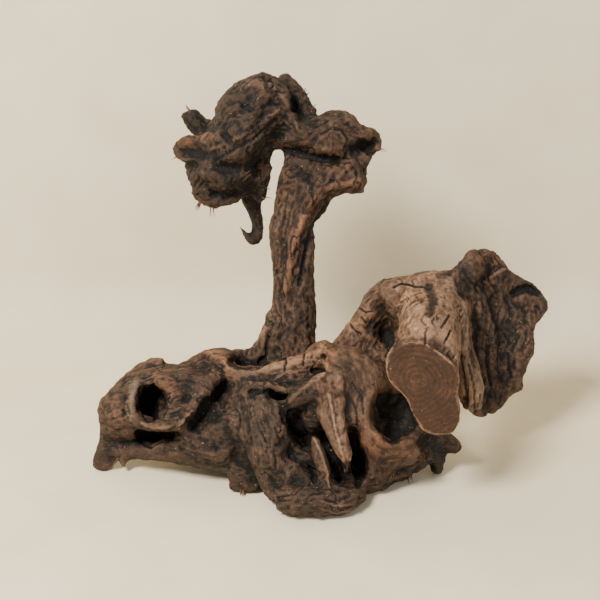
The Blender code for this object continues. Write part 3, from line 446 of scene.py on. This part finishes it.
def saw_rings(points, normals):
    """How far each point is on the saw cut, from 0 to 1, and how dark the growth ring or check is there."""
    middle = seen(*CUT_PLACE)
    facing = RIGHT * CUT_FACING[0] + UP * CUT_FACING[1] + NEAR * CUT_FACING[2]
    facing = facing / np.linalg.norm(facing)
    height = (points - middle) @ facing / MM
    apart = np.linalg.norm(points - middle, axis=1) / MM
    on_cut = (np.abs(height) < 1.2) & (apart < 42) & (normals @ facing > 0.75)
    across = (points - seen(*CUT_PITH)) / MM
    out = np.linalg.norm(across - (across @ facing)[:, None] * facing, axis=1)
    wavy = out + gradient_noise(points / MM / 13, 41) * 3
    rings = 0.5 + 0.5 * np.cos(wavy / RING_SPACING * 2 * pi)
    turn = np.arctan2(across @ UP, across @ RIGHT)
    rays = np.clip(1 - np.abs(np.sin(turn * 3.5 + gradient_noise(points / MM / 9, 42))) / 0.05, 0, 1)
    dark = rings * 0.45 + rays * np.clip(out / 9, 0, 1) * 0.8
    return on_cut.astype(float), dark


def add_values(mesh, name, values, kind="FLOAT"):
    """Keeps one value for each point of the mesh under this name."""
    layer = mesh.attributes.new(name, kind, "POINT")
    layer.data.foreach_set("vector" if kind == "FLOAT_VECTOR" else "value", values.astype(np.float32).ravel())


def edge_table(mesh):
    """The two points of each edge, as rows."""
    table = np.empty(len(mesh.edges) * 2, np.int32)
    mesh.edges.foreach_get("vertices", table)
    return table.reshape(-1, 2)


def thinned(mesh):
    """The mesh with fewer triangles, and which point of the full mesh lies nearest each of its points."""
    mesh.calc_loop_triangles()
    thin = baked(mesh, ("DECIMATE", {"ratio": SKIN_TRIANGLES / len(mesh.loop_triangles)}))
    finder = KDTree(len(mesh.vertices))
    for vertex in mesh.vertices:
        finder.insert(vertex.co, vertex.index)
    finder.balance()
    return thin, np.array([finder.find(vertex.co)[1] for vertex in thin.vertices])


def weathered_skin():
    """The wood's surface with its grain, cracks and marks as real shape, and their values kept on it."""
    mesh = baked(
        merged_copy("driftwood"),
        ("SUBSURF", {"levels": 1, "render_levels": 1}),
        ("REMESH", {"mode": "VOXEL", "voxel_size": SKIN_VOXEL}),
        ("SMOOTH", {"factor": 0.5, "iterations": 2}),
    )
    points, normals = read_mesh(mesh)
    visible = in_sight(points, normals, face_tree(mesh))
    grain, inside, finish = grain_of(points / MM)
    marks = carve_marks(points, visible)
    sawn, saw_dark = saw_rings(points, normals)
    lift, crack, ridge = weathering(points / MM, grain, inside, finish[:, 0])
    lift = np.where(sawn > 0, -0.25 * saw_dark, lift - marks[:, 0])
    standing = np.clip(points[:, 2] / MM / 3, 0, 1)
    moved = points + normals * (lift * standing)[:, None] * MM
    moved = np.clip(moved, np.array(CAD_LOW) + BOX_MARGIN, np.array(CAD_HIGH) - BOX_MARGIN)
    moved[:, 2] = np.where(points[:, 2] < 0.6 * MM, points[:, 2], moved[:, 2])
    edges = edge_table(mesh)
    write_points(mesh, moved)
    hollow = ((neighbour_mean(moved, edges, 3) - moved) * normals).sum(axis=1) / MM
    deep = ((neighbour_mean(moved, edges, 25) - moved) * normals).sum(axis=1) / MM
    # The paleness takes in the marks' painted shade and painted light along with the wood's own tone.
    pale_with_painted_shade_and_light = finish[:, 1] * 0.86 - 0.04 + marks[:, 1] * 0.8 + ridge * 0.06 * finish[:, 0]
    pale_with_painted_shade_and_light += gradient_noise(points / MM / 16, 51) * 0.12 + gradient_noise(points / MM / 6, 52) * 0.08
    # Painted shade: hollows and creases are made darker by how far they sink below their neighbours, and rounded
    # bumps a little paler as painted light.
    pale_with_painted_shade_and_light -= np.clip(hollow * 0.8, -0.1, 0.16) + np.clip(deep * 0.3, -0.08, 0.24)
    sawn_pale = 0.46 - 0.24 * saw_dark + gradient_noise(points / MM / 14, 54) * 0.1
    pale_with_painted_shade_and_light = np.where(sawn > 0, sawn_pale, pale_with_painted_shade_and_light)
    warm = finish[:, 2] + marks[:, 2] + gradient_noise(points / MM / 12, 53) * 0.35
    warm = np.clip(np.where(sawn > 0, 0.85, warm), 0, 1)
    skin, sources = thinned(mesh)
    add_values(skin, "pale_with_painted_shade_and_light", np.clip(pale_with_painted_shade_and_light, 0, 1)[sources])
    add_values(skin, "warm", warm[sources])
    add_values(skin, "crack", np.where(sawn > 0, 0, crack)[sources])
    add_values(skin, "grain", grain[sources], "FLOAT_VECTOR")
    return skin


# Splinters and loose fibres: where each grows from and points to, as (right, up), its thickness, and how many
# stand together, all in mm.
FIBRES = [
    ((-131, -84), (-135, -80), 0.7, 2), ((-118, -104), (-122, -110), 0.8, 3), ((-76, 70), (-78, 66), 0.6, 4),
    ((-64, 64), (-66, 58), 0.7, 5), ((-58, 60), (-57, 54), 0.6, 4), ((-80, 93), (-84, 91), 0.35, 3),
    ((-34, 46), (-31, 38), 0.7, 3), ((-26, 74), (-21, 72), 0.5, 3), ((-24, 67), (-20, 65), 0.5, 2),
    ((-38, 78), (-30, 84), 0.4, 5), ((50, 98), (56, 97), 0.35, 4), ((16, -32), (22, -28), 0.6, 5),
    ((20, -36), (26, -34), 0.6, 5), ((29, -108), (28, -113), 0.6, 3), ((34, -107), (36, -112), 0.6, 3),
    ((60, -113), (59, -119), 0.6, 5), ((72, -114), (73, -119), 0.6, 5), ((-38, -123), (-38, -128), 0.7, 4),
    ((2, 132), (6, 138), 0.8, 3), ((6, 122), (11, 126), 0.7, 3), ((-70, 120), (-74, 127), 0.7, 3),
]


def add_splinter(bm, root, tip, thick):
    """A thin tapering splinter, closed at both ends."""
    span = Vector(tip - root)
    turn = span.to_track_quat("Z", "Y").to_matrix().to_4x4()
    turn.translation = Vector((root + tip) / 2)
    bmesh.ops.create_cone(bm, cap_ends=True, segments=5, radius1=thick * MM, radius2=thick * 0.15 * MM,
                          depth=span.length, matrix=turn)


def fibre_mesh(skin):
    """The splinters that stand off broken edges, as one mesh."""
    tree = face_tree(skin)
    draw = np.random.default_rng(7)
    eye = Vector((VIEW_CENTRE + NEAR * VIEW_DISTANCE) * MM)
    bm = bmesh.new()
    for start, end, thick, count in FIBRES:
        for _ in range(count):
            right, up = start + draw.normal(0, 1.1, 2)
            towards = Vector(seen(right, up, 0)) - eye
            hit = tree.ray_cast(eye, towards)[0]
            if hit is None:
                continue
            near = places(np.array([hit]))[2][0] - 1
            reach = draw.uniform(0.6, 1.15)
            goal = (right + (end[0] - start[0]) * reach, up + (end[1] - start[1]) * reach)
            tip = seen(*(goal + draw.normal(0, 0.7, 2)), near + draw.uniform(-1, 2.5))
            tip = np.clip(tip, np.array(CAD_LOW) + 8 * BOX_MARGIN, np.array(CAD_HIGH) - 8 * BOX_MARGIN)
            add_splinter(bm, seen(right, up, near), tip, thick * draw.uniform(0.6, 1.1))
    mesh = bpy.data.meshes.new("splinters")
    bm.to_mesh(mesh)
    bm.free()
    return mesh


def add(tree, kind, links=(), **settings):
    """A node of this kind with its settings, each input joined to another node's output or given a value."""
    node = tree.nodes.new(kind)
    for key, value in settings.items():
        setattr(node, key, value)
    for socket, source in dict(links).items():
        if isinstance(source, bpy.types.NodeSocket):
            tree.links.new(source, node.inputs[socket])
        else:
            node.inputs[socket].default_value = source
    return node


def colour_steps(ramp, steps):
    """Gives a colour ramp these (place, colour) steps."""
    while len(ramp.elements) > 1:
        ramp.elements.remove(ramp.elements[-1])
    ramp.elements[0].position = steps[0][0]
    ramp.elements[0].color = linear(steps[0][1])
    for place, code in steps[1:]:
        ramp.elements.new(place).color = linear(code)


def new_material(name):
    """An empty material with its Principled BSDF and output."""
    material = bpy.data.materials.new(name)
    material.use_nodes = True
    material.node_tree.nodes.clear()
    shader = add(material.node_tree, "ShaderNodeBsdfPrincipled")
    add(material.node_tree, "ShaderNodeOutputMaterial", {"Surface": shader.outputs[0]})
    return material, material.node_tree, shader


# The streaks along the grain, the mottling and the specks of salt and grit, in mm.
STREAK_LENGTH = 12
STREAK_WIDTH = 0.8
MOTTLE_SIZE = 4
SPECK_SPACING = 0.9


def weathered_wood():
    """Old root wood worn by water, sand and sun: soft wood eaten out between hard ribs, bare and unvarnished.

    To the eye: orange-brown ribs and bleached tan faces with fine streaks along the grain, all of it dull, with a
    little sheen where it has been rubbed smooth. The cracks are painted near-black and the hollows umber as
    painted shade, and a few lit tops are painted paler as painted light.
    """
    material, tree, shader = new_material("weathered_root_wood")
    value = {name: add(tree, "ShaderNodeAttribute", attribute_name=name).outputs["Fac"]
             for name in ("pale_with_painted_shade_and_light", "warm", "crack")}
    grain = add(tree, "ShaderNodeAttribute", attribute_name="grain").outputs["Vector"]
    place = add(tree, "ShaderNodeTexCoord").outputs["Object"]
    streak_scale = (1 / STREAK_LENGTH, 1 / STREAK_WIDTH, 1 / STREAK_WIDTH)
    long_way = add(tree, "ShaderNodeVectorMath", {0: grain, 1: streak_scale}, operation="MULTIPLY")
    streak = add(tree, "ShaderNodeTexNoise",
                 {"Vector": long_way.outputs[0], "Scale": 1, "Detail": 4, "Roughness": 0.6})
    mottle = add(tree, "ShaderNodeTexNoise",
                 {"Vector": place, "Scale": 1 / (MOTTLE_SIZE * MM), "Detail": 5, "Roughness": 0.65})
    speck = add(tree, "ShaderNodeTexNoise", {"Vector": place, "Scale": 1 / (SPECK_SPACING * MM), "Detail": 1})
    streaky = add(tree, "ShaderNodeMath", {0: streak.outputs[0], 1: 0.28, 2: -0.14}, operation="MULTIPLY_ADD")
    mottled = add(tree, "ShaderNodeMath", {0: mottle.outputs[0], 1: 0.5, 2: -0.25}, operation="MULTIPLY_ADD")
    both = add(tree, "ShaderNodeMath", {0: streaky.outputs[0], 1: mottled.outputs[0]}, operation="ADD")
    # The kept paleness carries painted shade and painted light as well as the wood's own tone.
    level = add(tree, "ShaderNodeMath", {0: both.outputs[0], 1: value["pale_with_painted_shade_and_light"]}, operation="ADD")
    grey = add(tree, "ShaderNodeValToRGB", {"Fac": level.outputs[0]})
    colour_steps(grey.color_ramp, [(0, "#0a0806"), (0.2, "#281f17"), (0.42, "#3e3126"), (0.65, "#655446"),
                                   (0.85, "#8f7b69"), (1, "#bdab95")])
    brown = add(tree, "ShaderNodeValToRGB", {"Fac": level.outputs[0]})
    colour_steps(brown.color_ramp, [(0, "#0b0705"), (0.2, "#2b1d13"), (0.42, "#482f1f"), (0.65, "#704d36"),
                                    (0.85, "#a07757"), (1, "#c8a482")])
    wood = add(tree, "ShaderNodeMix", data_type="RGBA")
    link_colour(tree, wood, value["warm"], grey.outputs[0], brown.outputs[0])
    # Painted shade: the cracks are darkened towards near-black by how deep they are.
    dark = add(tree, "ShaderNodeMix", data_type="RGBA")
    painted_crack_shade = add(tree, "ShaderNodeMath", {0: value["crack"], 1: 0.85}, operation="MULTIPLY")
    link_colour(tree, dark, painted_crack_shade.outputs[0], wood.outputs[2], linear("#0c0805"))
    grit = add(tree, "ShaderNodeMapRange",
               {"Value": speck.outputs[0], "From Min": 0.73, "From Max": 0.78, "To Max": 0.55})
    flecked = add(tree, "ShaderNodeMix", data_type="RGBA")
    link_colour(tree, flecked, grit.outputs[0], dark.outputs[2], linear("#c9bda8"))
    tree.links.new(flecked.outputs[2], shader.inputs["Base Color"])
    rough = add(tree, "ShaderNodeMapRange",
                {"Value": mottle.outputs[0], "From Min": 0.3, "From Max": 0.7, "To Min": 0.55, "To Max": 0.85})
    tree.links.new(rough.outputs[0], shader.inputs["Roughness"])
    shader.inputs["Specular IOR Level"].default_value = 0.32
    height = add(tree, "ShaderNodeMath", {0: streak.outputs[0], 1: mottle.outputs[0]}, operation="ADD")
    bump = add(tree, "ShaderNodeBump", {"Height": height.outputs[0], "Strength": 0.9, "Distance": 1.1 * MM})
    tree.links.new(bump.outputs[0], shader.inputs["Normal"])
    return material


def link_colour(tree, mix, share, first, second):
    """Joins a colour mix's share and its two colours."""
    sockets = [s for s in mix.inputs if s.enabled or s.type == "RGBA"]
    share_socket = mix.inputs[0]
    colours = [s for s in sockets if s.type == "RGBA"]
    for socket, source in zip([share_socket, *colours], [share, first, second]):
        if isinstance(source, bpy.types.NodeSocket):
            tree.links.new(source, socket)
        else:
            socket.default_value = source


def splinter_wood():
    """The same wood freshly split: thin, reddish and paler than the weathered skin, with no polish."""
    material, tree, shader = new_material("split_wood_fibre")
    place = add(tree, "ShaderNodeTexCoord").outputs["Object"]
    noise = add(tree, "ShaderNodeTexNoise", {"Vector": place, "Scale": 1 / (3 * MM), "Detail": 3})
    ramp = add(tree, "ShaderNodeValToRGB", {"Fac": noise.outputs[0]})
    colour_steps(ramp.color_ramp, [(0.35, "#2a1b12"), (0.65, "#7d5a41")])
    tree.links.new(ramp.outputs[0], shader.inputs["Base Color"])
    shader.inputs["Roughness"].default_value = 0.8
    return material


def pale_sheet():
    """A plain matt cloth sheet, laid flat and drawn up behind: cream, with a faint soft unevenness.

    Its back is clear, so that the wood can be looked at from behind too.
    """
    material, tree, shader = new_material("cream_cloth_sheet")
    place = add(tree, "ShaderNodeTexCoord").outputs["Object"]
    noise = add(tree, "ShaderNodeTexNoise", {"Vector": place, "Scale": 1 / (60 * MM), "Detail": 4})
    ramp = add(tree, "ShaderNodeValToRGB", {"Fac": noise.outputs[0]})
    colour_steps(ramp.color_ramp, [(0.3, "#eaddbf"), (0.7, "#f1e6ca")])
    tree.links.new(ramp.outputs[0], shader.inputs["Base Color"])
    shader.inputs["Roughness"].default_value = 0.95
    back = add(tree, "ShaderNodeNewGeometry").outputs["Backfacing"]
    clear = add(tree, "ShaderNodeBsdfTransparent")
    either = add(tree, "ShaderNodeMixShader", {0: back, 1: shader.outputs[0], 2: clear.outputs[0]})
    tree.links.new(either.outputs[0], tree.nodes["Material Output"].inputs["Surface"])
    return material


def add_piece(name, mesh, material):
    """Adds a finished piece of the wood, smooth shaded, that stands for the CAD node."""
    piece = bpy.data.objects.new(name, mesh)
    bpy.context.scene.collection.objects.link(piece)
    mesh.materials.clear()
    mesh.materials.append(material)
    mesh.shade_smooth()
    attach(piece, "root")
    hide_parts("driftwood")
    return piece


# The sheet: its width, where it starts in front, where it turns up behind the wood, and how tightly, in mm.
SHEET_WIDTH = 3000
SHEET_FRONT = -1500
SHEET_BACK = 190
SHEET_BEND = 60
SHEET_HEIGHT = 1500


def add_sheet_stage():
    """The cloth sheet under and behind the wood."""
    bm = bmesh.new()
    turns = [radians(step * 9) for step in range(11)]
    curve = [(SHEET_BACK + SHEET_BEND * (sin(a) - 1), SHEET_BEND * (1 - cos(a))) for a in turns]
    profile = [(SHEET_FRONT, 0), *curve, (SHEET_BACK, SHEET_HEIGHT)]
    rows = []
    for across in (-SHEET_WIDTH / 2, SHEET_WIDTH / 2):
        rows.append([bm.verts.new((across * MM, y * MM, z * MM)) for y, z in profile])
    for near_a, far_a, far_b, near_b in zip(rows[0], rows[0][1:], rows[1][1:], rows[1]):
        bm.faces.new((near_a, near_b, far_b, far_a))
    mesh = bpy.data.meshes.new("sheet")
    bm.to_mesh(mesh)
    bm.free()
    mesh.shade_smooth()
    sheet = bpy.data.objects.new("sheet", mesh)
    mesh.materials.append(pale_sheet())
    bpy.context.scene.collection.objects.link(sheet)


def add_light(name, place, aim, size, power, colour):
    """A square soft light at a place, in mm, turned towards another."""
    light = bpy.data.lights.new(name, "AREA")
    light.size = size * MM
    light.energy = power
    light.color = linear(colour)[:3]
    lamp = bpy.data.objects.new(name, light)
    lamp.location = Vector(place) * MM
    lamp.rotation_euler = (Vector(place) - Vector(aim)).to_track_quat("Z", "Y").to_euler()
    bpy.context.scene.collection.objects.link(lamp)


def add_camera():
    """The camera where the viewer's eye is, looking at the wood's middle."""
    camera = bpy.data.cameras.new("camera")
    camera.lens = LENS
    camera.sensor_width = SENSOR
    holder = bpy.data.objects.new("camera", camera)
    holder.location = Vector((VIEW_CENTRE + NEAR * VIEW_DISTANCE) * MM)
    holder.rotation_euler = Vector(NEAR).to_track_quat("Z", "Y").to_euler()
    bpy.context.scene.collection.objects.link(holder)
    bpy.context.scene.camera = holder


def add_surroundings(brightness):
    """Even light from all round, as in a white room."""
    world = bpy.data.worlds.new("room")
    world.use_nodes = True
    world.node_tree.nodes["Background"].inputs["Color"].default_value = linear("#f4f1ea")
    world.node_tree.nodes["Background"].inputs["Strength"].default_value = brightness
    bpy.context.scene.world = world


skin = weathered_skin()
add_piece("weathered_root", skin, weathered_wood())
add_piece("splinters", fibre_mesh(skin), splinter_wood())
add_sheet_stage()
add_light("window", (-520, -560, 900), (0, 0, 90), 320, 21, "#fffaf2")
add_light("fill", (700, -700, 350), (0, 0, 90), 700, 3, "#f2f5ff")
add_surroundings(0.34)
add_camera()
